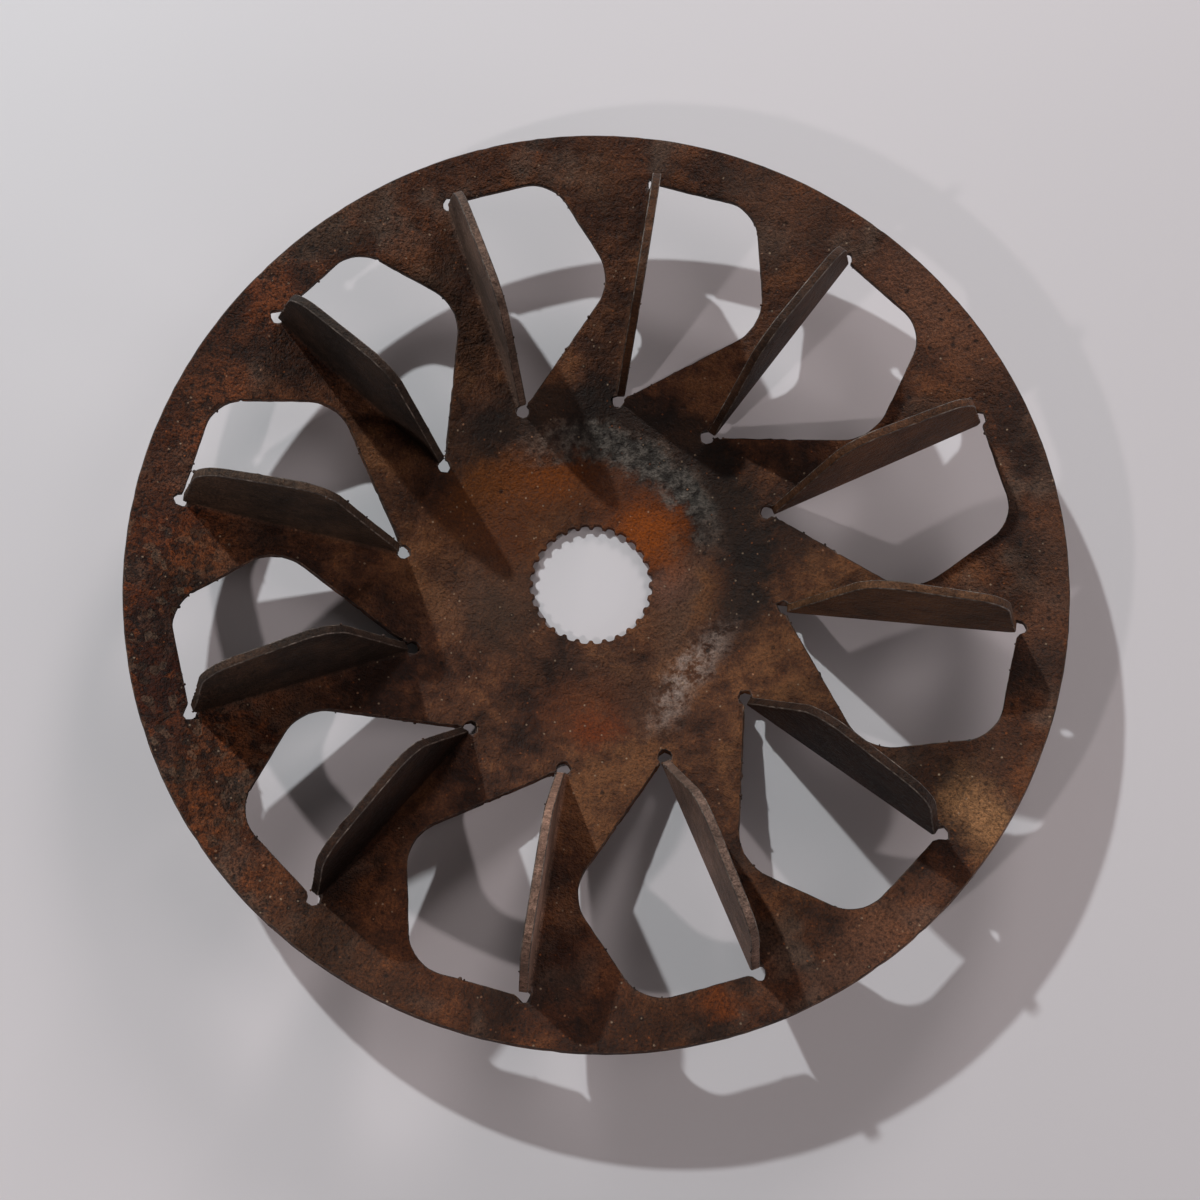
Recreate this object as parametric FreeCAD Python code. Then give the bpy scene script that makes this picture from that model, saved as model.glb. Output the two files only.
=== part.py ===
import FreeCAD, Part
import math
import os

# Engine cooling fan: one round of sheet steel, dished to a shallow cone, with
# twelve blades cut out of the cone on three sides and folded up on the fourth.
# The fan lies as it rests: flat hub on the floor (z = 0), blades upwards.
# All sizes are in millimetres and all angles in degrees.

# Sheet and dish
rim_dia = 216.4          # over the cut edge of the rim
sheet = 2.0              # thickness of the sheet
dish_deg = 17.1          # how steeply the cone climbs from hub to rim
cone_start_dia = 61.5    # where flat hub and cone would meet without a bend
knuckle_r = 12.0         # bend between hub and cone, at the middle of the sheet

# Splined bore, a 30 x 1 x 28 shaft fit with some rust loss
tooth_count = 28
bore_major_dia = 30.2    # bottom of the grooves
bore_minor_dia = 28.4    # tips of the teeth
groove_mouth = 2.1       # groove width at the tooth tips
groove_root = 1.7        # groove width at the bottom

# Blades and the windows they leave
blade_count = 12
first_hinge_deg = 118.0  # direction of blade 1, counted from +X
relief_dia = 3.2         # drilled hole at each end of a fold
hinge_inner_r = 46.0     # radius of the inner relief holes
rim_band = 10.8          # from the outer relief holes to the rim edge
hinge_toe_deg = 0.5      # inner end of a fold leads the outer end by this
knee_r = 74.6            # window corner nearer the hub
knee_reach = 0.85        # its angle from the hinge, as a part of one pitch
tip_r = 98.0             # window corner nearer the rim
tip_reach = 0.505        # its angle from the hinge, as a part of one pitch
knee_corner_r = 10.5     # rounding of the corner at the knee
tip_corner_r = 9.0       # rounding of the corner at the tip
kerf = 0.3               # width of the cut between a blade and its window
fold_r = 0.9             # inside radius of a fold
neutral = 0.44           # part of the sheet the fold neither pulls nor squeezes
drawn = 0.02             # what folding draws off each face of the sheet

# Every blade was folded by hand to its own angle, 90 is square to the dish.
# Blades are counted clockwise, seen from above.
fold_deg = [90.0, 89.5, 90.0, 90.5, 90.0, 91.0, 91.0, 89.0, 88.0, 87.0, 88.0, 88.0]

# Values that follow from the sizes above
rim_r = rim_dia / 2.0
cone_r = cone_start_dia / 2.0
dish = math.radians(dish_deg)
pitch_deg = 360.0 / blade_count
hinge_outer_r = rim_r - rim_band
up = FreeCAD.Vector(0, 0, 1)


def cone_height(radius):
    """Height of the upper face of the cone at a radius."""
    return sheet + (radius - cone_r) * math.tan(dish)


def on_dish(radius, angle_deg):
    """Point on the upper face of the cone."""
    a = math.radians(angle_deg)
    return FreeCAD.Vector(radius * math.cos(a), radius * math.sin(a), cone_height(radius))


def drop(point):
    """The point of the cone's upper face straight above or below a point."""
    return FreeCAD.Vector(point.x, point.y, cone_height(math.hypot(point.x, point.y)))


def dish_normal(point):
    """Direction square to the cone, away from its upper face."""
    a = math.atan2(point.y, point.x)
    return FreeCAD.Vector(-math.sin(dish) * math.cos(a), -math.sin(dish) * math.sin(a), math.cos(dish))


def rounded_face(corners, radii, place):
    """Flat face from corner points, each corner rounded by its radius, moved by place()."""
    count = len(corners)
    legs = []
    for i in range(count):
        here = corners[i]
        back = (corners[i - 1] - here).normalize()
        ahead = (corners[(i + 1) % count] - here).normalize()
        if radii[i] <= 0.0:
            legs.append((here, None, here))
            continue
        half = back.getAngle(ahead) / 2.0
        run = radii[i] / math.tan(half)
        middle = (back + ahead).normalize()
        top = here + middle * (radii[i] / math.sin(half) - radii[i])
        legs.append((here + back * run, top, here + ahead * run))
    edges = []
    for i in range(count):
        start, top, end = legs[i]
        if top is not None:
            edges.append(Part.Arc(place(start), place(top), place(end)).toShape())
        edges.append(Part.makeLine(place(end), place(legs[(i + 1) % count][0])))
    return Part.Face(Part.Wire(edges))


def drawn_in(points, gap):
    """The corners of an outline once each of its sides has moved inwards by the gap."""
    moved = []
    for i in range(len(points)):
        back = (points[i - 1] - points[i]).normalize()
        ahead = (points[(i + 1) % len(points)] - points[i]).normalize()
        half = back.getAngle(ahead) / 2.0
        moved.append(points[i] + (back + ahead).normalize() * (gap / math.sin(half)))
    return moved


def make_dish():
    """The round of sheet: flat hub, knuckle and cone, the rim cut square to the sheet."""
    s, c = math.sin(dish), math.cos(dish)
    flat_r = cone_r + sheet / 2.0 * math.tan(dish / 2.0) - knuckle_r * math.tan(dish / 2.0)
    centre_z = sheet / 2.0 + knuckle_r
    over, under = knuckle_r - sheet / 2.0, knuckle_r + sheet / 2.0

    def bend(radius, angle):
        return FreeCAD.Vector(flat_r + radius * math.sin(angle), 0, centre_z - radius * math.cos(angle))

    rim_top = FreeCAD.Vector(rim_r - sheet * s, 0, cone_height(rim_r - sheet * s))
    rim_bottom = rim_top + FreeCAD.Vector(s, 0, -c) * sheet
    edges = [
        Part.makeLine(FreeCAD.Vector(0, 0, 0), bend(under, 0)),
        Part.Arc(bend(under, 0), bend(under, dish / 2.0), bend(under, dish)).toShape(),
        Part.makeLine(bend(under, dish), rim_bottom),
        Part.makeLine(rim_bottom, rim_top),
        Part.makeLine(rim_top, bend(over, dish)),
        Part.Arc(bend(over, dish), bend(over, dish / 2.0), bend(over, 0)).toShape(),
        Part.makeLine(bend(over, 0), FreeCAD.Vector(0, 0, sheet)),
        Part.makeLine(FreeCAD.Vector(0, 0, sheet), FreeCAD.Vector(0, 0, 0)),
    ]
    return Part.Face(Part.Wire(edges)).revolve(FreeCAD.Vector(0, 0, 0), up, 360)


def make_bore():
    """Tool for the splined bore: tooth tips on one circle, groove bottoms on another."""
    tip, root = bore_minor_dia / 2.0, bore_major_dia / 2.0
    half_mouth = math.asin(groove_mouth / 2.0 / tip)
    half_root = math.asin(groove_root / 2.0 / root)
    step = 2.0 * math.pi / tooth_count

    def at(radius, angle):
        return FreeCAD.Vector(radius * math.cos(angle), radius * math.sin(angle), -sheet)

    edges = []
    for i in range(tooth_count):
        a = i * step
        edges.append(Part.makeLine(at(tip, a - half_mouth), at(root, a - half_root)))
        edges.append(Part.Arc(at(root, a - half_root), at(root, a), at(root, a + half_root)).toShape())
        edges.append(Part.makeLine(at(root, a + half_root), at(tip, a + half_mouth)))
        after = a + step - half_mouth
        edges.append(Part.Arc(at(tip, a + half_mouth), at(tip, a + step / 2.0), at(tip, after)).toShape())
    return Part.Face(Part.Wire(edges)).extrude(up * sheet * 3.0)


class Hinge:
    """Where one blade folds, with the directions along the fold, across it and off the dish."""

    def __init__(self, number):
        self.angle = first_hinge_deg - number * pitch_deg
        self.fold = math.radians(fold_deg[number % len(fold_deg)])
        # the fold takes up this much of the sheet, half on each side of the relief holes
        self.taken = self.fold * (fold_r + neutral * sheet)
        inner = on_dish(hinge_inner_r, self.angle + hinge_toe_deg)
        outer = on_dish(hinge_outer_r, self.angle)
        level = (outer - inner).cross(up).normalize()
        back = level * (self.taken / 2.0)
        self.start = drop(inner - back)
        end = drop(outer - back)
        self.length = (end - self.start).Length
        self.along = (end - self.start).normalize()
        normal = dish_normal((self.start + end) / 2.0)
        self.out = (normal - self.along * normal.dot(self.along)).normalize()
        self.across = self.along.cross(self.out)

    def corners(self, along_sheet):
        """The window's two far corners, counted from the start of the fold.

        A window is seen square to the hinge. A blade's width is measured along
        the sheet instead, which curves up a little across the window."""
        found = []
        for radius, reach in ((knee_r, knee_reach), (tip_r, tip_reach)):
            point = on_dish(radius, self.angle - reach * pitch_deg) - self.start
            u, v, n = point.dot(self.along), point.dot(self.across), point.dot(self.out)
            found.append(FreeCAD.Vector(u, math.hypot(v, n) if along_sheet else v, 0))
        return found


def window_tool(hinge):
    """Cuts one window and its two relief holes square to the dish."""
    depth = 6.0 * sheet
    holes_at = hinge.taken / 2.0
    base = hinge.start - hinge.out * depth
    knee, tip = hinge.corners(False)
    points = [FreeCAD.Vector(0, 0, 0), FreeCAD.Vector(0, holes_at, 0), knee, tip,
              FreeCAD.Vector(hinge.length, holes_at, 0), FreeCAD.Vector(hinge.length, 0, 0)]
    radii = [0, 0, knee_corner_r, tip_corner_r, 0, 0]
    face = rounded_face(points, radii, lambda p: base + hinge.along * p.x + hinge.across * p.y)
    tool = face.extrude(hinge.out * (2.0 * depth))
    centre = base + hinge.across * holes_at
    ends = (centre, centre + hinge.along * hinge.length)
    return tool.fuse([Part.makeCylinder(relief_dia / 2.0, 2.0 * depth, p, hinge.out) for p in ends])


def make_blade(hinge):
    """The fold, turned about its own axis, and the flat blade that stands on it."""
    knee, tip = hinge.corners(True)
    holes_at = FreeCAD.Vector(0, hinge.taken / 2.0, 0)
    far_hole = holes_at + FreeCAD.Vector(hinge.length, 0, 0)
    # the cut runs from the relief holes to the far corners and takes its width off the blade
    near, knee, tip, far = drawn_in([holes_at, knee, tip, far_hole], kerf)
    first = near.x + (knee.x - near.x) * (hinge.taken - near.y) / (knee.y - near.y)
    last = far.x - (far.x - tip.x) * (hinge.taken - far.y) / (tip.y - far.y)
    skin = sheet - 2.0 * drawn
    axis = hinge.start + hinge.out * fold_r
    low = hinge.start + hinge.along * first - hinge.out * (drawn + skin)
    section = Part.Face(Part.makePolygon([
        low, low + hinge.along * (last - first),
        low + hinge.along * (last - first) + hinge.out * skin, low + hinge.out * skin, low]))
    bend = section.revolve(axis, hinge.along * -1, math.degrees(hinge.fold))
    rise = hinge.across * math.cos(hinge.fold) + hinge.out * math.sin(hinge.fold)
    side = hinge.across * math.sin(hinge.fold) - hinge.out * math.cos(hinge.fold)
    base = axis + side * (fold_r + drawn) - rise * hinge.taken
    points = [FreeCAD.Vector(first, hinge.taken, 0), knee, tip, FreeCAD.Vector(last, hinge.taken, 0)]
    radii = [0, knee_corner_r - kerf, tip_corner_r - kerf, 0]
    face = rounded_face(points, radii, lambda p: base + hinge.along * p.x + rise * p.y)
    return bend.fuse(face.extrude(side * skin))


def make_fan():
    hinges = [Hinge(i) for i in range(blade_count)]
    plate = make_dish().cut([make_bore()] + [window_tool(h) for h in hinges])
    return plate.fuse([make_blade(h) for h in hinges])


os.makedirs("parts", exist_ok=True)
fan = make_fan()
print("solids", len(fan.Solids), "valid", fan.isValid(), "volume", round(fan.Volume, 1))
fan.Solids[0].exportStep("parts/fan_wheel.step")
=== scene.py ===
# %% [markdown]
# # A rusty cooling fan, cut and folded from one round of sheet steel
# The real fan starts as a flat disc. A machine cuts twelve flaps into it, each on
# three sides only, drills a small hole at both ends of the fourth side so that the
# sheet doesn't tear there, dishes the disc and folds every flap up into a blade.
# This lesson does the same in Blender: cut the blank, dish it, fold it, then rust it.

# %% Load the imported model
import math
import random
import bmesh
import bpy
from mathutils import Matrix, Vector, noise


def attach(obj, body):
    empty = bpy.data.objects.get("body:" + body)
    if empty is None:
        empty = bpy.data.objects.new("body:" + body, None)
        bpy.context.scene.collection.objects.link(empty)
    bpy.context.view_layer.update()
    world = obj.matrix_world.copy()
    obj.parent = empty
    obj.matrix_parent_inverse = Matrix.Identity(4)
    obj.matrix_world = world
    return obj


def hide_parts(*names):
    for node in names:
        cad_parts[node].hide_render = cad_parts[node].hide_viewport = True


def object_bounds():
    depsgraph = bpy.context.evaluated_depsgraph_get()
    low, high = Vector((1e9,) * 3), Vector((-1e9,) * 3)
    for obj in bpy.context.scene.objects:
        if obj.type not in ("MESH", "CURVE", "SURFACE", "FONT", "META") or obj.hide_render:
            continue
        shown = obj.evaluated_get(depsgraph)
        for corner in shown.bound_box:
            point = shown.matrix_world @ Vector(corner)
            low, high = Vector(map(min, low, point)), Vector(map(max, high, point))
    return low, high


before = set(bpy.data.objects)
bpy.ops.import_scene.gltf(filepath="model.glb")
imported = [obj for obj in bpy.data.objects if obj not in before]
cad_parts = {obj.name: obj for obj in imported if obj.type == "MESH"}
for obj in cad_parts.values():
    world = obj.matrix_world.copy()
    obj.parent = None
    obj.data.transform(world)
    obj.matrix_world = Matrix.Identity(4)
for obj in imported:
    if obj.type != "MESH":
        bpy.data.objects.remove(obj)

cad_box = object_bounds()
print("CAD box in mm", [[round(v * 1000, 1) for v in corner] for corner in cad_box])

# %% [markdown]
# ## Sizes
# Everything is drawn in millimetres and turned to metres once, at the end. The
# numbers are the driving sizes of the CAD source, so that the blank, once dished
# and folded, lands exactly where the solid is.

# %% Sizes of the sheet, the dish and the folds
MM = 0.001
SHEET = 2.0
RIM_R = 108.2
DISH = math.radians(17.1)
CONE_R = 30.75
KNUCKLE_R = 12.0
BLADES = 12
PITCH = 30.0
FIRST_HINGE = 118.0
RELIEF_R = 1.6
HINGE_INNER_R, HINGE_OUTER_R = 46.0, RIM_R - 10.8
HINGE_TOE = 0.5
KNEE_R, KNEE_REACH, KNEE_CORNER = 74.6, 0.85, 10.5
TIP_R, TIP_REACH, TIP_CORNER = 98.0, 0.505, 9.0
FOLD_R, NEUTRAL = 0.9, 0.44
FOLD_DEG = [90.0, 89.5, 90.0, 90.5, 90.0, 91.0, 91.0, 89.0, 88.0, 87.0, 88.0, 88.0]
TOOTH_TIP_R, TOOTH_ROOT_R, TEETH = 14.2, 15.1, 28
RIM_TOP_R = RIM_R - SHEET * math.sin(DISH)

# %% The dish as a function of the distance from the shaft
FLAT_R = CONE_R - (KNUCKLE_R - SHEET / 2) * math.tan(DISH / 2)
BEND_R = KNUCKLE_R - SHEET / 2


def slope(radius):
    """How steeply the upper face climbs at a distance from the shaft."""
    return math.asin(min(max((radius - FLAT_R) / BEND_R, 0.0), math.sin(DISH)))


def height(radius):
    """Height of the upper face: flat hub, then the knuckle, then the cone."""
    if radius < FLAT_R + BEND_R * math.sin(DISH):
        return SHEET + BEND_R * (1 - math.cos(slope(radius)))
    return SHEET + (radius - CONE_R) * math.tan(DISH)


def on_dish(radius, degrees):
    """A point of the upper face."""
    a = math.radians(degrees)
    return Vector((radius * math.cos(a), radius * math.sin(a), height(radius)))


print("rim of the upper face is", round(height(RIM_TOP_R), 2), "mm up")

# %% [markdown]
# ## Where each blade folds
# A fold is a straight line from one relief hole to the other. The little class
# below keeps the three directions of one fold: along it, across it, and out of
# the sheet. It can lay a point of the window flat onto the blank, and it can turn
# a point of the blank up round the fold.

# %% One fold line and its directions
class Fold:
    def __init__(self, number):
        self.angle = FIRST_HINGE - number * PITCH
        self.turn = math.radians(FOLD_DEG[number])
        self.taken = self.turn * (FOLD_R + NEUTRAL * SHEET)
        inner = on_dish(HINGE_INNER_R, self.angle + HINGE_TOE)
        outer = on_dish(HINGE_OUTER_R, self.angle)
        self.level = (outer - inner).cross(Vector((0, 0, 1))).normalized()
        back = self.level * (self.taken / 2)
        self.start = self.drop(inner - back)
        end = self.drop(outer - back)
        self.length = (end - self.start).length
        self.along = (end - self.start).normalized()
        middle = (self.start + end) / 2
        a = math.atan2(middle.y, middle.x)
        lean = math.sin(DISH)
        normal = Vector((-lean * math.cos(a), -lean * math.sin(a), math.cos(DISH)))
        self.out = (normal - self.along * normal.dot(self.along)).normalized()
        self.across = self.along.cross(self.out)

    def drop(self, point):
        """The point of the upper face under or over this one."""
        return Vector((point.x, point.y, height(point.xy.length)))

    def corner(self, radius, reach):
        """A far corner of the window, counted along and across the fold."""
        point = on_dish(radius, self.angle - reach * PITCH) - self.start
        return Vector((point.dot(self.along), point.dot(self.across), 0))

    def to_blank(self, point):
        """From along and across the fold to the plan of the blank."""
        place = self.start + self.along * point.x + self.across * point.y
        for _ in range(6):
            place += self.out * ((height(place.xy.length) - place.z) * math.cos(DISH))
        return Vector((place.x, place.y, 0))

    def from_blank(self, x, y):
        """Along the fold, and away from it as a tape on the sheet would measure."""
        point = self.drop(Vector((x, y, 0))) - self.start
        v = point.dot(self.across)
        return point.dot(self.along), math.copysign(math.hypot(v, point.dot(self.out)), v)

    def folded(self, u, w, depth):
        """Where a point of the flap goes, depth being counted from the upper face."""
        turn = self.turn * min(w / self.taken, 1.0)
        side = self.across * math.sin(turn) - self.out * math.cos(turn)
        rise = self.across * math.cos(turn) + self.out * math.sin(turn)
        axis = self.start + self.along * u + self.out * FOLD_R
        return axis + side * (FOLD_R + depth) + rise * max(w - self.taken, 0.0)


folds = [Fold(i) for i in range(BLADES)]
print("each fold is", round(folds[0].length, 1), "mm long")
print("it takes", round(folds[0].taken, 2), "mm of sheet")

# %% [markdown]
# ## The blank
# A rectangle spun round the shaft gives a round slab with a polar grid of faces.
# The grid is fine enough, about 1.6 mm, for the dents and the bent folds to come.
# A plain cylinder would have had no faces to bend.

# %% Spin the blank
def to_object(bm, name):
    """Ends a bmesh and puts it into a new object."""
    mesh = bpy.data.meshes.new(name)
    bm.to_mesh(mesh)
    bm.free()
    made = bpy.data.objects.new(name, mesh)
    bpy.context.scene.collection.objects.link(made)
    return made


def spin_blank(inner, outer, rings):
    """A round slab whose faces lie in rings, its upper face at z = 0."""
    bm = bmesh.new()
    bmesh.ops.create_grid(bm, x_segments=rings, y_segments=1, size=0.5)
    bmesh.ops.rotate(bm, verts=bm.verts, matrix=Matrix.Rotation(math.radians(90), 3, "X"))
    bmesh.ops.scale(bm, verts=bm.verts, vec=(outer - inner, 1, SHEET))
    bmesh.ops.translate(bm, verts=bm.verts, vec=((outer + inner) / 2, 0, -SHEET / 2))
    bmesh.ops.delete(bm, geom=bm.faces[:], context="FACES_ONLY")
    upright = [e for e in bm.edges if abs(e.verts[0].co.z - e.verts[1].co.z) > SHEET / 2]
    inside = [e for e in upright if inner + 0.1 < e.verts[0].co.x < outer - 0.1]
    bmesh.ops.delete(bm, geom=inside, context="EDGES")
    bmesh.ops.spin(bm, geom=bm.verts[:] + bm.edges[:], cent=(0, 0, 0), axis=(0, 0, 1),
                   dvec=(0, 0, 0), angle=math.tau, steps=360, use_merge=True)
    bmesh.ops.remove_doubles(bm, verts=bm.verts, dist=0.001)
    bmesh.ops.recalc_face_normals(bm, faces=bm.faces)
    return to_object(bm, "fan_sheet")


sheet = spin_blank(inner=12.0, outer=RIM_TOP_R, rings=59)
print("blank has", len(sheet.data.polygons), "faces")

# %% [markdown]
# ## The cutting tools
# Three tools cut the blank: a thin C-shaped slit round every flap, a drill for the
# relief holes and a broach for the splined bore. Each is a flat outline pulled into
# a prism. The slit is an inset of the window's outline, which gives the width that
# the cutting flame burnt away.

# %% Prisms and Booleans
KERF = 0.3


def prism(bm, faces):
    """Pulls flat faces at z = 0 into closed prisms right through the blank."""
    bmesh.ops.translate(bm, verts=bm.verts, vec=(0, 0, -SHEET * 2))
    pulled = bmesh.ops.extrude_face_region(bm, geom=faces, use_keep_orig=True)
    top = [g for g in pulled["geom"] if isinstance(g, bmesh.types.BMVert)]
    bmesh.ops.translate(bm, verts=top, vec=(0, 0, SHEET * 3))
    bmesh.ops.recalc_face_normals(bm, faces=bm.faces)


def in_order(mesh):
    """The same mesh, its points and faces in an order that depends on their places alone."""
    spots = [tuple(v.co) for v in mesh.vertices]
    order = sorted(range(len(spots)), key=lambda i: [round(c, 4) for c in spots[i]])
    rank = {old: new for new, old in enumerate(order)}
    rings = [[rank[i] for i in face.vertices] for face in mesh.polygons]
    rings = [ring[ring.index(min(ring)):] + ring[:ring.index(min(ring))] for ring in rings]
    made = bpy.data.meshes.new(mesh.name)
    made.from_pydata([[round(c, 4) for c in spots[i]] for i in order], [], sorted(rings))
    return made


def cut(body, tool):
    """Takes the tool out of the body and throws the tool away."""
    step = body.modifiers.new("cut", "BOOLEAN")
    step.operation = "DIFFERENCE"
    step.solver = "EXACT"
    step.object = tool
    graph = bpy.context.evaluated_depsgraph_get()
    done = bpy.data.meshes.new_from_object(body.evaluated_get(graph))
    body.modifiers.clear()
    # a Boolean may give its faces back in any order, so they are sorted for the same fan each run
    body.data = in_order(done)
    bpy.data.objects.remove(tool)
    print("cut, now", len(done.polygons), "faces")


# %% The slit round each flap
LONGEST = 4.0


def slit_tool():
    """A thin prism round three sides of every flap."""
    bm = bmesh.new()
    for fold in folds:
        part = bmesh.new()
        middle = fold.taken / 2
        knee, tip = fold.corner(KNEE_R, KNEE_REACH), fold.corner(TIP_R, TIP_REACH)
        points = [Vector((0, middle, 0)), knee, tip, Vector((fold.length, middle, 0))]
        corners = [part.verts.new(p) for p in points]
        face = part.faces.new(corners)
        for vert, size in ((corners[1], KNEE_CORNER), (corners[2], TIP_CORNER)):
            legs = [e.other_vert(vert).co - vert.co for e in vert.link_edges]
            run = size / math.tan(legs[0].angle(legs[1]) / 2)
            bmesh.ops.bevel(part, geom=[vert], offset=run, offset_type="OFFSET", segments=10,
                            profile=0.5, affect="VERTICES", material=-1)
        for _ in range(4):
            long = [e for e in part.edges if e.calc_length() > LONGEST]
            bmesh.ops.subdivide_edges(part, edges=long, cuts=1)
        whole = list(part.faces)
        ring = bmesh.ops.inset_region(part, faces=whole, thickness=KERF, use_even_offset=True,
                                      use_boundary=True)["faces"]
        bmesh.ops.delete(part, geom=[f for f in part.faces if f not in ring], context="FACES")
        # the side along the fold isn't cut
        base = [f for f in part.faces if f.calc_center_median().y < middle + KERF
                and 0.2 < f.calc_center_median().x < fold.length - 0.2]
        bmesh.ops.delete(part, geom=base, context="FACES")
        for vert in part.verts:
            vert.co = fold.to_blank(vert.co)
        prism(part, part.faces[:])
        piece = bpy.data.meshes.new("slit")
        part.to_mesh(piece)
        part.free()
        bm.from_mesh(piece)
        bpy.data.meshes.remove(piece)
    return to_object(bm, "slit_tool")


cut(sheet, slit_tool())

# %% The relief holes
def relief_tool():
    """A drill at both ends of every fold."""
    bm = bmesh.new()
    for number, fold in enumerate(folds):
        for end, far in ((0.0, 0), (fold.length, 1)):
            ring = bmesh.ops.create_circle(bm, cap_ends=True, radius=RELIEF_R, segments=24)
            for vert in ring["verts"]:
                # the flame left every hole a little out of round, the outer ones more
                place = Vector((vert.co.x * 0.7, vert.co.y * 0.7, number * 3.1 + far * 17))
                swell = 1 + (0.1 + 0.16 * far) * noise.noise(place)
                vert.co = vert.co * swell + Vector((end, fold.taken / 2, 0))
                vert.co = fold.to_blank(vert.co)
    prism(bm, bm.faces[:])
    return to_object(bm, "relief_tool")


cut(sheet, relief_tool())

# %% The splined bore
def bore_tool():
    """A broach: one tooth space, repeated all round the shaft."""
    bm = bmesh.new()
    tip, root, step = TOOTH_TIP_R, TOOTH_ROOT_R, math.tau / TEETH
    # distance from the shaft and share of a pitch, from a tooth's middle to the groove
    flank = [(tip, -0.5), (tip + 0.02, -0.42), (tip + 0.2, -0.35), (root - 0.28, -0.29),
             (root - 0.06, -0.21)]
    outline = flank + [(root, -0.08), (root, 0.08)] + [(r, -a) for r, a in reversed(flank)]
    chain = [bm.verts.new((r * math.cos(a * step), r * math.sin(a * step), 0))
             for r, a in outline]
    for one, two in zip(chain, chain[1:]):
        bm.edges.new((one, two))
    bmesh.ops.spin(bm, geom=bm.verts[:] + bm.edges[:], cent=(0, 0, 0), axis=(0, 0, 1),
                   dvec=(0, 0, 0), angle=step * (TEETH - 1), steps=TEETH - 1, use_duplicate=True)
    bmesh.ops.remove_doubles(bm, verts=bm.verts, dist=0.01)
    bmesh.ops.contextual_create(bm, geom=bm.edges[:])
    prism(bm, bm.faces[:])
    return to_object(bm, "bore_tool")


cut(sheet, bore_tool())

# %% [markdown]
# ## Folding
# A flap is still joined to the sheet along its fold line, so the faces that belong
# to it are found by walking from its middle until the fold line is met. Extra
# lines are cut beside the fold first, because a bend needs a row of narrow faces.

# %% Score the fold lines
ROWS = 6
MARGIN = 3.0
bm = bmesh.new()
bm.from_mesh(sheet.data)
bmesh.ops.remove_doubles(bm, verts=bm.verts, dist=0.08)
for fold in folds:
    level, run = fold.level.xy, fold.along.xy.normalized()
    near = []
    for face in bm.faces:
        offset = face.calc_center_median().xy - fold.start.xy
        beside = -MARGIN < offset.dot(level) < MARGIN * 2
        if beside and -MARGIN < offset.dot(run) < fold.length + MARGIN:
            near.append(face)
    lines = [edge for face in near for edge in face.edges]
    corners = [vert for face in near for vert in face.verts]
    # a dict keeps the order things are put in, so every run cuts in the same order
    parts = list(dict.fromkeys(near + lines + corners))
    for row in range(ROWS + 1):
        place = fold.start + fold.level * (fold.taken * row / ROWS)
        split = bmesh.ops.bisect_plane(bm, geom=parts, dist=0.02, plane_no=fold.level,
                                       plane_co=(place.x, place.y, 0))
        parts = split["geom"]
print("scored", len(bm.faces), "faces")

# %% Find the flaps
flap_of = bm.verts.layers.int.new("flap_of")
bm.faces.ensure_lookup_table()
centres = [f.calc_center_median() for f in bm.faces]
for number, fold in enumerate(folds):
    target = fold.to_blank(Vector((fold.length / 2, 12.0, 0)))
    seed = min(range(len(centres)), key=lambda i: (centres[i] - target).length_squared)
    level, start = fold.level.xy, fold.start.xy
    found, todo = {seed}, [bm.faces[seed]]
    while todo:
        for edge in todo.pop().edges:
            for face in edge.link_faces:
                beyond = (centres[face.index].xy - start).dot(level)
                if face.index not in found and beyond > 0.0:
                    found.add(face.index)
                    todo.append(face)
    for index in found:
        for vert in bm.faces[index].verts:
            vert[flap_of] = number + 1
    print("flap", number + 1, "has", len(found), "faces")

# %% Weld the slivers beside the cuts
# nearer the shaft than this there is only the bore, whose small teeth stay as they are
HUB_R = 20.0


def weld_slivers(bm, shortest):
    """Closes up edges beside the cuts that are too short to round off."""
    walls = {v for f in bm.faces if abs(f.normal.z) < 0.5 for v in f.verts}
    for side in range(BLADES + 1):
        short = [e for e in bm.edges if not walls.isdisjoint(e.verts)
                 and e.calc_length() < shortest and all(v[flap_of] == side for v in e.verts)
                 and e.verts[0].co.xy.length > HUB_R]
        bmesh.ops.dissolve_degenerate(bm, dist=shortest, edges=short)
        walls = {v for v in walls if v.is_valid}
    print("welded, now", len(bm.faces), "faces")


bm.normal_update()
weld_slivers(bm, 0.4)

# %% [markdown]
# ## Dish it and fold it
# Every point of the blank has a place in plan and a depth below the upper face.
# Off the flaps it is lifted onto the dish. On a flap it is carried round the fold.
# The cut edges wander a little and the surface is slightly pitted, as on rusty
# sheet, and that is easiest to add here, while the sheet is still flat.

# %% Move every point of the blank to its place on the fan
def dished(x, y, depth):
    """Where a point of the blank goes when the sheet is dished."""
    radius = math.hypot(x, y)
    lean = slope(radius)
    out = radius + depth * math.sin(lean)
    return Vector((x / radius * out, y / radius * out, height(radius) - depth * math.cos(lean)))


def linear(hex_colour):
    """An sRGB hex colour as Blender's linear numbers."""
    parts = [int(hex_colour[i:i + 2], 16) / 255 for i in (1, 3, 5)]
    curved = [c / 12.92 if c <= 0.04045 else ((c + 0.055) / 1.055) ** 2.4 for c in parts]
    return curved + [1.0]


# the real rim is a little out of round: direction and half width in degrees, depth
RIM_DENTS = [(144, 30, 0.7), (260, 22, 0.5), (52, 24, 0.2)]


def rim_dent(x, y):
    """How far the rim is pushed in at this heading."""
    heading = math.degrees(math.atan2(y, x)) % 360
    return sum(deep * math.exp(-((heading - middle) / wide) ** 2)
               for middle, wide, deep in RIM_DENTS)


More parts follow.
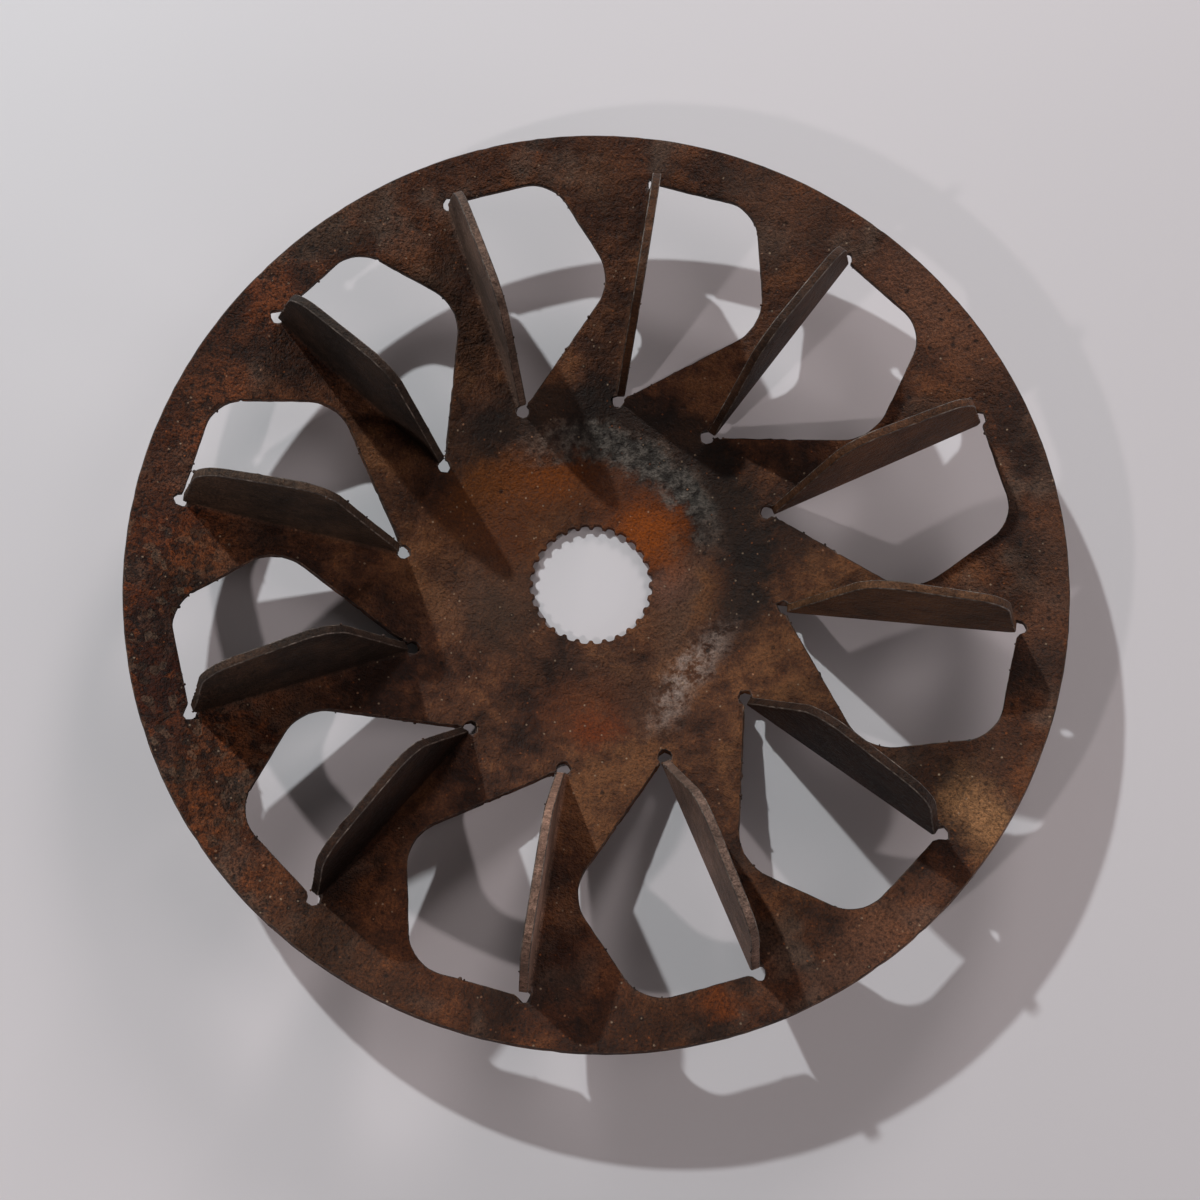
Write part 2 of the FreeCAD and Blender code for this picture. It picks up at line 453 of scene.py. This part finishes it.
blank_uv = bm.loops.layers.uv.new("blank")
blade_tint = bm.verts.layers.float.new("blade")
edge_tint = bm.verts.layers.float.new("edge")
tone_shade_layer = bm.verts.layers.float_color.new("tint_with_shade")
# a tint per blade: partly real colour, partly painted light and shade that makes some blades
# lighter and some darker
BLADE_TINTS_AND_SHADE = ["#665348", "#432c1d", "#3b291e", "#482e1d", "#523825", "#221711",
           "#705b50", "#86695a", "#231812", "#2f251e", "#3a2f26", "#312923"]
flat_place = {}
# without a seed, noise_vector would start from the clock and no two runs would agree
noise.seed_set(12)
# the blades' tips stay under the top of the solid, with room for the rounding
ceiling = cad_box[1][2] / MM - 0.25
for vert in bm.verts:
    x, y, depth = vert.co.x, vert.co.y, -vert.co.z
    walls = [f for f in vert.link_faces if abs(f.normal.z) < 0.5]
    vert[edge_tint] = 1.0 if walls else 0.0
    radius = math.hypot(x, y)
    on_rim = radius > RIM_TOP_R - 0.05
    if walls and radius > HUB_R and not on_rim:
        spot = Vector((x, y, depth * 1.3))
        stray = noise.noise_vector(spot * 0.55) * 0.10 + noise.noise_vector(spot * 0.08) * 0.12
        x, y = x + stray.x, y + stray.y
    if on_rim:
        nibble = 0.14 * abs(noise.noise(Vector((x * 0.2, y * 0.2, 4.0))))
        nibble += 0.5 * max(0.0, noise.noise(Vector((x * 0.35, y * 0.35, depth * 0.5))) - 0.38)
        pull = 1 - (0.04 + rim_dent(x, y) + nibble) / radius
        x, y = x * pull, y * pull
    number = vert[flap_of]
    flat_place[vert.index] = (x, y)
    if number:
        fold = folds[number - 1]
        u, w = fold.from_blank(x, y)
        flat_place[vert.index] = (u + 300.0 * number, w)
        vert[blade_tint] = min(max(w / fold.taken, 0.0), 1.0)
        vert[tone_shade_layer] = linear(BLADE_TINTS_AND_SHADE[number - 1])
    if number and w > 0.0:
        vert.co = fold.folded(u, w, depth)
        vert.co.z = min(vert.co.z, ceiling)
    else:
        vert.co = dished(x, y, depth)
for face in bm.faces:
    for loop in face.loops:
        loop[blank_uv].uv = Vector(flat_place[loop.vert.index]) * MM
bmesh.ops.scale(bm, verts=bm.verts, vec=(MM, MM, MM))
bmesh.ops.recalc_face_normals(bm, faces=bm.faces)
# how far each sharp edge is to be rounded: the small teeth of the bore only a little
rounding = bm.edges.layers.float.new("bevel_weight_edge")
for edge in bm.edges:
    if edge.calc_face_angle(0.0) > math.radians(50):
        edge[rounding] = 1.0 if edge.verts[0].co.xy.length > HUB_R * MM else 0.3
bm.to_mesh(sheet.data)
bm.free()
for axis, name in enumerate("xyz"):
    reach = [v.co[axis] / MM for v in sheet.data.vertices]
    print("fan from", round(min(reach), 2), "to", round(max(reach), 2), "mm along", name)

# %% [markdown]
# ## Dross and rounded corners
# A cutting flame leaves beads of melted steel on the lower edge of its cut. They are
# small round blobs here, strewn along the cut edges. Then every sharp edge is
# rounded a little, since no corner of a rusty sheet is still keen.

# %% Beads of dross left on the cut edges
random.seed(12)
edge_layer = sheet.data.attributes["edge"].data
BEADS = 170
burrs = [v.co.copy() for v in sheet.data.vertices
         if edge_layer[v.index].value > 0.5 and 44 * MM < v.co.xy.length < 104 * MM
         and 4 * MM < v.co.z < 42 * MM]
bm = bmesh.new()
for spot in random.sample(burrs, BEADS):
    size = random.uniform(0.12, 0.36) * MM
    made = bmesh.ops.create_icosphere(bm, subdivisions=2, radius=size)["verts"]
    bmesh.ops.scale(bm, verts=made, vec=[random.uniform(0.7, 1.4) for _ in range(3)])
    bmesh.ops.translate(bm, verts=made, vec=spot)
beads = to_object(bm, "dross_beads")
print(len(beads.data.polygons), "faces of dross")

# %% Round the cut edges and set the shading
edge_round = sheet.modifiers.new("edge_round", "BEVEL")
edge_round.width = 0.22 * MM
edge_round.segments = 2
edge_round.limit_method = "WEIGHT"
edge_round.use_clamp_overlap = False
edge_round.material = 1
for face in sheet.data.polygons:
    face.use_smooth = True

# %% [markdown]
# ## Rusted hot-rolled steel
# Hot-rolled sheet leaves the mill with a dark blue-grey scale. Outdoors it rusts in
# layers: umber all over, red-brown in clouds, orange where water stood last, pits
# where the scale broke. Rubbed places go back to grey. Each layer here is a mask
# that lays one colour over the last, and every scale is a real size in millimetres.
# A few layers are painted light and shade instead: blade shadows, glints and blade tints.

# %% A helper for all materials
def add(tree, kind, sockets=(), stops=(), **settings):
    """Adds a node, sets it and links it. A socket takes a value or another node."""
    made = tree.nodes.new("ShaderNode" + kind)
    for name, value in settings.items():
        setattr(made, name, value)
    for name, value in dict(sockets).items():
        if isinstance(value, bpy.types.Node):
            value = next(o for o in value.outputs if o.enabled)
        if isinstance(value, bpy.types.NodeSocket):
            tree.links.new(value, made.inputs[name])
        else:
            made.inputs[name].default_value = value
    for number, (place, colour) in enumerate(stops):
        if number > 1:
            made.color_ramp.elements.new(place)
        made.color_ramp.elements[number].position = place
        made.color_ramp.elements[number].color = linear(colour)
    return made


# %% [markdown]
# ## Where the colours lie
# Rust isn't the same everywhere: water stood by the shaft and left it orange, and
# the rim lay in damp earth. The list below puts soft blotches on the plan of the fan,
# in millimetres, as seen from above. Two dark ones are painted shadows of blades.

# %% Where the stains lie
# Each patch: centre in plan, half sizes, turn in degrees, strength, colour.
RUST_AND_SHADOW_PATCHES = [
    ((-24, 16), (22, 18), 20, 0.95, "#4c290f"),
    ((-26, 23), (14, 9), 30, 0.8, "#5f330f"),
    ((-12, 26), (16, 9), 15, 0.9, "#663208"),
    ((-20, 8), (10, 12), 0, 0.8, "#4c250b"),
    ((-3, 20), (9, 5), 0, 0.6, "#4c260c"),
    ((2, 27), (12, 6), -20, 0.6, "#371e10"),
    ((20, 3), (8, 9), 0, 0.75, "#755040"),
    ((11, 17), (13, 13), 0, 0.95, "#502406"),
    ((12.5, 14.5), (8.5, 9), -20, 1.0, "#7a3a06"),
    ((19, 8), (4, 7), 15, 0.4, "#74380a"),
    ((-24, -8), (16, 14), 10, 0.55, "#4f392b"),
    ((12, -27), (18, 9), 15, 0.45, "#4d3629"),
    ((2, -19), (15, 7), 0, 0.35, "#33261f"),
    ((0, -31), (14, 9), 20, 0.7, "#552b14"),
    ((6, -36), (8, 6), 20, 0.9, "#5f2a0e"),
    ((23, -6), (7, 12), -15, 0.6, "#45332a"),
    ((91, -48), (8, 13), 25, 0.85, "#906643"),
    ((92, -34), (8, 10), 15, 0.5, "#4e3223"),
    # painted shadow: the shade of the fifth blade on the rim
    ((97, -14), (8, 9), 0, 0.85, "#1f140e"),
    # painted shadow: the shade of the fourth blade on the sheet near the blades' roots
    ((50, 16), (10, 8), 0, 0.7, "#1f1613"),
    # darker here, beside the third blade
    ((36, 82), (7, 6), 0, 0.6, "#2a1a12"),
    ((70, -78), (20, 9), 48, 0.65, "#694635"),
    ((72, 72), (28, 9), -45, 0.6, "#684432"),
    ((103, 8), (8, 26), 0, 0.6, "#553829"),
    ((88, 52), (8, 10), 40, 0.3, "#33211a"),
    ((34, 95), (16, 8), -20, 0.6, "#5c3c2a"),
    ((25, -100), (18, 7), 12, 0.75, "#2d1a10"),
    ((38, -93), (5, 4), 0, 0.8, "#6b3413"),
    ((-12, 97), (9, 8), 0, 0.3, "#65442e"),
    ((-94, -38), (9, 24), 22, 0.9, "#2e1006"),
    ((-103, 6), (7, 26), 0, 0.7, "#3f1d0a"),
    ((-96, 42), (9, 18), -22, 0.6, "#311c11"),
    ((-71, 78), (16, 8), 45, 0.5, "#574335"),
    ((-45, -93), (24, 8), -28, 0.6, "#3b281c"),
]


def soft_patch(tree, place, centre, size, turn, strength):
    """A soft blotch on the plan of the fan. Its outline wanders with the place it is given."""
    spot = add(tree, "Mapping", {"Vector": place, "Location": (*centre, 0),
                                 "Rotation": (0, 0, math.radians(turn)),
                                 "Scale": (*size, 1000)}, vector_type="TEXTURE")
    reach = add(tree, "VectorMath", {0: spot}, operation="LENGTH")
    return add(tree, "MapRange", {"Value": reach.outputs["Value"], "From Min": 1.3,
                                  "From Max": 0.1, "To Max": strength},
               interpolation_type="SMOOTHSTEP")


def band(tree, value, start, full, fade, end):
    """A mask that is on between full and fade, and off before start and after end."""
    rise = add(tree, "MapRange", {"Value": value, "From Min": start, "From Max": full},
               interpolation_type="SMOOTHSTEP")
    fall = add(tree, "MapRange", {"Value": value, "From Min": end, "From Max": fade},
               interpolation_type="SMOOTHSTEP")
    return add(tree, "Math", {0: rise, 1: fall}, operation="MULTIPLY")


# %% [markdown]
# ## The steel
# It looks like sheet that rusted in the open: dull, rough, brown in clouds, with no
# shine but a faint one. All its patterns start from the place in millimetres.

# %% Maps of the steel: places, clouds, mottling and grain
steel = bpy.data.materials.new("rusted_steel_with_painted_shade")
steel.use_nodes = True
tree = steel.node_tree
tree.nodes.clear()
place = add(tree, "TexCoord").outputs["Object"]
spot = add(tree, "VectorMath", {0: place, "Scale": 1 / MM}, operation="SCALE")
blade = add(tree, "Attribute", attribute_name="blade").outputs["Fac"]
tone_and_shade = add(tree, "Attribute", attribute_name="tint_with_shade").outputs["Color"]

# clouds 16 mm wide, mottling 3 mm, grain 0.6 mm
cloud = add(tree, "TexNoise", {"Vector": spot, "Scale": 0.06, "Detail": 2.0, "Roughness": 0.6})
mottle = add(tree, "TexNoise", {"Vector": spot, "Scale": 0.32, "Detail": 3.0, "Roughness": 0.75})
grain = add(tree, "TexNoise", {"Vector": spot, "Scale": 1.6, "Detail": 2.0, "Roughness": 0.8})
mixed = add(tree, "Math", {0: mottle, 1: 0.35}, operation="MULTIPLY")
mixed = add(tree, "Math", {0: cloud, 1: 0.65, 2: mixed}, operation="MULTIPLY_ADD")

# patches and rings wander, so that no outline is a clean curve
stray = spot
for pattern, far in ((cloud, 12), (mottle, 9)):
    stray = add(tree, "VectorMath", {0: pattern.outputs["Color"], 1: (far, far, 0), 2: stray},
                operation="MULTIPLY_ADD")
stray = add(tree, "VectorMath", {0: stray, 1: (10.5, 10.5, 0)}, operation="SUBTRACT")
flat_spot = add(tree, "VectorMath", {0: stray, 1: (1, 1, 0)}, operation="MULTIPLY")
radius = add(tree, "VectorMath", {0: flat_spot}, operation="LENGTH").outputs["Value"]
split = add(tree, "SeparateXYZ", {"Vector": flat_spot})
heading = add(tree, "Math", {0: split.outputs["Y"], 1: split.outputs["X"]}, operation="ARCTAN2")

# %% Layers of rust on the plate
# Each layer: its colour, then the masks that say where it lies.
layers = []

# the rim is redder, with dark crusts between, most of all on its left side
rimward = add(tree, "MapRange", {"Value": radius, "From Min": 66.0, "From Max": 96.0})
west = add(tree, "MapRange", {"Value": split.outputs["X"], "From Min": -40.0,
                              "From Max": -95.0, "To Min": 0.3})
crusty = add(tree, "Math", {0: rimward, 1: west}, operation="MULTIPLY")
red = add(tree, "MapRange", {"Value": mixed, "From Min": 0.49, "From Max": 0.6, "To Max": 0.75})
dark = add(tree, "MapRange", {"Value": mottle, "From Min": 0.47, "From Max": 0.36, "To Max": 0.8})
patch = add(tree, "SeparateColor", {"Color": cloud.outputs["Color"]})
dull = add(tree, "MapRange", {"Value": patch.outputs["Green"], "From Min": 0.5,
                              "From Max": 0.6, "To Max": 0.6})
sooty = add(tree, "MapRange", {"Value": patch.outputs["Blue"], "From Min": 0.5,
                               "From Max": 0.38, "To Max": 0.75})
layers += [("#4c2711", rimward, 0.35), ("#55453a", rimward, dull), ("#25160f", rimward, sooty),
           ("#5f2c12", crusty, red), ("#1b0d07", crusty, dark)]

for centre, size, angle, strength, colour in RUST_AND_SHADOW_PATCHES:
    layers.append((colour, soft_patch(tree, stray, centre, size, angle, strength)))

# the ring that the clamping washer rubbed: a dark margin outside, partly painted shade where
# blades' shadows fall, pitted grey scale inside; its middle lies a little to the upper left of
# the shaft
reach = add(tree, "VectorMath", {0: flat_spot, 1: (-3, 4, 0)}, operation="DISTANCE")
reach = reach.outputs["Value"]
layers.append(("#1c1511", band(tree, reach, 33, 38, 43, 50),
               band(tree, heading, -0.6, 0.0, 2.2, 2.9), 0.85))
scale = add(tree, "ValToRGB", {"Fac": mottle},
            stops=((0.36, "#25201c"), (0.47, "#3d3833"), (0.6, "#5a534c")))
ring = add(tree, "Math", {0: band(tree, reach, 26, 30, 34, 38),
                          1: band(tree, heading, 0.25, 0.8, 1.7, 2.4)}, operation="MULTIPLY")
layers.append((scale, ring))
layers.append(("#5d5048", band(tree, reach, 27, 30, 31, 34),
               band(tree, heading, -1.1, -0.6, 0.4, 0.8), 0.12))

# a rubbed streak
worn = add(tree, "MapRange", {"Value": mottle, "From Min": 0.4, "From Max": 0.58, "To Max": 0.8})
layers.append(("#938278", soft_patch(tree, stray, (27, -20), (16, 5), 59, 1.0), worn))

# scale that flakes off the rim at the lower left
flaking = add(tree, "Math", {0: band(tree, radius, 76, 90, 110, 120),
                             1: band(tree, heading, -3.3, -3.0, -2.5, -2.1)},
              operation="MULTIPLY")
cells = add(tree, "TexVoronoi", {"Vector": spot, "Scale": 0.6, "Randomness": 1.0})
shade = add(tree, "SeparateColor", {"Color": cells.outputs["Color"]})
for colour, channel, least, strength in (("#5c4a3b", "Red", 0.8, 0.45),
                                         ("#66300f", "Blue", 0.82, 0.5),
                                         ("#190b06", "Green", 0.6, 0.65)):
    chosen = add(tree, "MapRange", {"Value": shade.outputs[channel], "From Min": least,
                                    "From Max": least + 0.08, "To Max": strength})
    layers.append((colour, flaking, chosen))

# %% Dark pits in clusters, orange flecks, and pale flecks that are painted glints
# both sit in the middles of the same cells, 1.7 mm wide
crowd = add(tree, "Math", {0: ring, 1: 0.6, 2: 0.01}, operation="MULTIPLY_ADD")
crowd = add(tree, "Math", {0: crusty, 1: 0.15, 2: crowd}, operation="MULTIPLY_ADD")
chance = add(tree, "Math", {0: shade.outputs["Red"], 1: crowd}, operation="LESS_THAN")
hole = add(tree, "MapRange", {"Value": cells, "From Min": 0.42, "From Max": 0.22, "To Max": 0.7})
layers.append(("#130d0a", hole, chance))
dot = add(tree, "MapRange", {"Value": cells, "From Min": 0.19, "From Max": 0.09})
# the pale flecks are painted glints; the orange ones are bright rust
for colour, channel, least, strength in (("#a38c74", "Green", 0.8, 0.55),
                                         ("#8a4a22", "Blue", 0.75, 0.5)):
    chance = add(tree, "Math", {0: shade.outputs[channel], 1: least}, operation="GREATER_THAN")
    layers.append((colour, dot, chance, strength))

# %% The blades: a tint per blade, partly real colour and partly painted light and shade; smoother, with drawing marks along them
# the marks are 6 mm long and 0.5 mm wide; the map of the blank is in metres
blank = add(tree, "UVMap", uv_map="blank")
lie = add(tree, "VectorMath", {0: blank, 1: (160, 2200, 1)}, operation="MULTIPLY")
drawn = add(tree, "TexNoise", {"Vector": lie, "Scale": 1.0, "Detail": 2.0, "Roughness": 0.65})
brushed = add(tree, "MapRange", {"Value": drawn, "From Min": 0.3, "From Max": 0.7,
                                 "To Min": 0.7, "To Max": 1.35})
patchy = add(tree, "MapRange", {"Value": mixed, "From Min": 0.38, "From Max": 0.62,
                                "To Min": 0.65, "To Max": 1.4})
worn = add(tree, "Math", {0: brushed, 1: patchy}, operation="MULTIPLY")
# the blade tint holds painted light and shade as well as real colour
shaded_blade_colour = add(tree, "VectorMath", {0: tone_and_shade, "Scale": worn}, operation="SCALE")
layers.append((shaded_blade_colour, blade, 0.85))

# %% [markdown]
# ## One colour over the other
# The list of layers is laid in order, each one only where all its masks let it. The
# grain then darkens and lightens the whole, more so on the crusts of the rim, and
# lifts the surface by up to 0.4 mm, which is what makes rust look dry.

# %% Lay every layer over the bare rust, then grain, bump and shine
tone = add(tree, "ValToRGB", {"Fac": mixed},
           stops=((0.39, "#27150c"), (0.45, "#3c2316"), (0.52, "#51311f"), (0.62, "#6f472c")))
for colour, *masks in layers:
    cover = masks[0]
    for mask in masks[1:]:
        cover = add(tree, "Math", {0: cover, 1: mask}, operation="MULTIPLY")
    colour = linear(colour) if isinstance(colour, str) else colour
    tone = add(tree, "Mix", {0: cover, 6: tone, 7: colour}, data_type="RGBA")

contrast = add(tree, "Math", {0: crusty, 1: 3.0, 2: 2.4}, operation="MULTIPLY_ADD")
speckle = add(tree, "Math", {0: grain, 1: 0.5}, operation="SUBTRACT")
speckle = add(tree, "Math", {0: speckle, 1: contrast, 2: 1.0}, operation="MULTIPLY_ADD")
speckle = add(tree, "Math", {0: speckle, 1: 0.25}, operation="MAXIMUM")
tone = add(tree, "VectorMath", {0: tone, "Scale": speckle}, operation="SCALE")
rise = add(tree, "Math", {0: mottle, 1: 2.2, 2: grain}, operation="MULTIPLY_ADD")
bump = add(tree, "Bump", {"Height": rise, "Strength": 1.0, "Distance": 0.0004})
rough = add(tree, "MapRange", {"Value": grain, "From Min": 0.3, "From Max": 0.7,
                               "To Min": 0.5, "To Max": 0.85})
shine = add(tree, "BsdfPrincipled", {"Base Color": tone, "Roughness": rough, "Normal": bump,
                                     "Specular IOR Level": 0.18})
add(tree, "OutputMaterial", {"Surface": shine})
print("rust made of", len(tree.nodes), "nodes")

# %% [markdown]
# ## Rubbed corners
# Corners are touched most, so their rust is thinner. They look paler and a little
# shinier than the sheet, greyest on the blades. The same finish serves the beads.

# %% The rubbed corners
corner = bpy.data.materials.new("rubbed_steel_corner")
corner.use_nodes = True
tree = corner.node_tree
tree.nodes.clear()
place = add(tree, "TexCoord").outputs["Object"]
spot = add(tree, "VectorMath", {0: place, "Scale": 1 / MM}, operation="SCALE")
blade = add(tree, "Attribute", attribute_name="blade").outputs["Fac"]
broken = add(tree, "TexNoise", {"Vector": spot, "Scale": 0.5, "Detail": 5.0, "Roughness": 0.75})
tone = add(tree, "ValToRGB", {"Fac": broken},
           stops=((0.4, "#1e130d"), (0.52, "#3b271c"), (0.66, "#6b4c36")))
rubbed = add(tree, "ValToRGB", {"Fac": broken},
             stops=((0.36, "#2a211c"), (0.5, "#4a3f38"), (0.66, "#85786d")))
tone = add(tree, "Mix", {0: blade, 6: tone, 7: rubbed}, data_type="RGBA")
shine = add(tree, "BsdfPrincipled", {"Base Color": tone, "Roughness": 0.55,
                                     "Specular IOR Level": 0.4})
add(tree, "OutputMaterial", {"Surface": shine})

# %% The piece stands for the CAD node
sheet.data.materials.append(steel)
sheet.data.materials.append(corner)
beads.data.materials.append(corner)
for face in beads.data.polygons:
    face.use_smooth = True
for piece in (sheet, beads):
    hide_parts("fan_wheel")
    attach(piece, "root")

# %% [markdown]
# ## Floor, camera and lamps
# The fan lies on pale paper. The camera's place and lens come from the outline of
# the rim, the relief holes and the blades in the photograph. The lamps' places
# come from the shadows of the blades' tips: one strong cool lamp at the upper left,
# a warm one at the lower left, and faint wide ones that fill the rest.

# %% The floor
bm = bmesh.new()
bmesh.ops.create_grid(bm, x_segments=2, y_segments=2, size=3.0)
floor = to_object(bm, "floor")
paper = bpy.data.materials.new("pale_paper_floor")
paper.use_nodes = True
paper.node_tree.nodes["Principled BSDF"].inputs["Base Color"].default_value = linear("#D1CDCF")
paper.node_tree.nodes["Principled BSDF"].inputs["Roughness"].default_value = 0.6
floor.data.materials.append(paper)

# %% Camera
PHOTO = 1200
FOCUS_PX = 1320.91
TURN = Matrix.Rotation(math.radians(0.3), 4, "Z")
camera = bpy.data.objects.new("camera", bpy.data.cameras.new("camera"))
bpy.context.scene.collection.objects.link(camera)
camera.data.sensor_width = 36.0
camera.data.lens = FOCUS_PX / PHOTO * camera.data.sensor_width
camera.data.shift_x = (PHOTO / 2 - 540.04) / PHOTO
camera.data.shift_y = (610.07 - PHOTO / 2) / PHOTO
camera.data.clip_start = 0.01
right = (0.99276, 0.11945, -0.0126)
down = (0.11387, -0.96936, -0.21767)
ahead = (-0.03821, 0.21466, -0.97594)
camera.matrix_world = TURN @ Matrix((
    (right[0], -down[0], -ahead[0], 0.00068),
    (right[1], -down[1], -ahead[1], -0.07729),
    (right[2], -down[2], -ahead[2], 0.31678),
    (0, 0, 0, 1)))
bpy.context.scene.camera = camera

# %% Lamps
def lamp(name, azimuth, elevation, distance, share, size, colour):
    """A round soft lamp that gives an upward floor this share of full light."""
    data = bpy.data.lights.new(name, "AREA")
    data.shape = "DISK"
    data.size = size
    data.color = colour
    a, e = math.radians(azimuth), math.radians(elevation)
    way = Vector((math.cos(a) * math.cos(e), math.sin(a) * math.cos(e), math.sin(e)))
    place = way * distance
    data.energy = share * math.pi ** 2 * distance ** 2 / math.sin(e)
    made = bpy.data.objects.new(name, data)
    bpy.context.scene.collection.objects.link(made)
    made.location = place
    made.rotation_euler = (-place).to_track_quat("-Z", "Y").to_euler()


COOL, WARM = (0.93, 1.0, 1.02), (1.09, 0.99, 0.99)
lamp("key", 132.7, 40.6, 1.5, 0.42, 0.04, COOL)
lamp("second", 230.0, 44.5, 0.6, 0.13, 0.025, WARM)
lamp("window", 78.0, 27.0, 1.0, 0.14, 0.25, WARM)
lamp("overhead", 15.0, 50.0, 0.8, 0.07, 0.4, WARM)
lamp("low_fill", 345.0, 12.0, 0.7, 0.05, 0.3, WARM)
world = bpy.data.worlds.new("soft_room")
world.use_nodes = True
world.node_tree.nodes["Background"].inputs["Color"].default_value = (1, 1, 1, 1)
world.node_tree.nodes["Background"].inputs["Strength"].default_value = 0.04
bpy.context.scene.world = world
bpy.context.scene.view_settings.view_transform = "Standard"
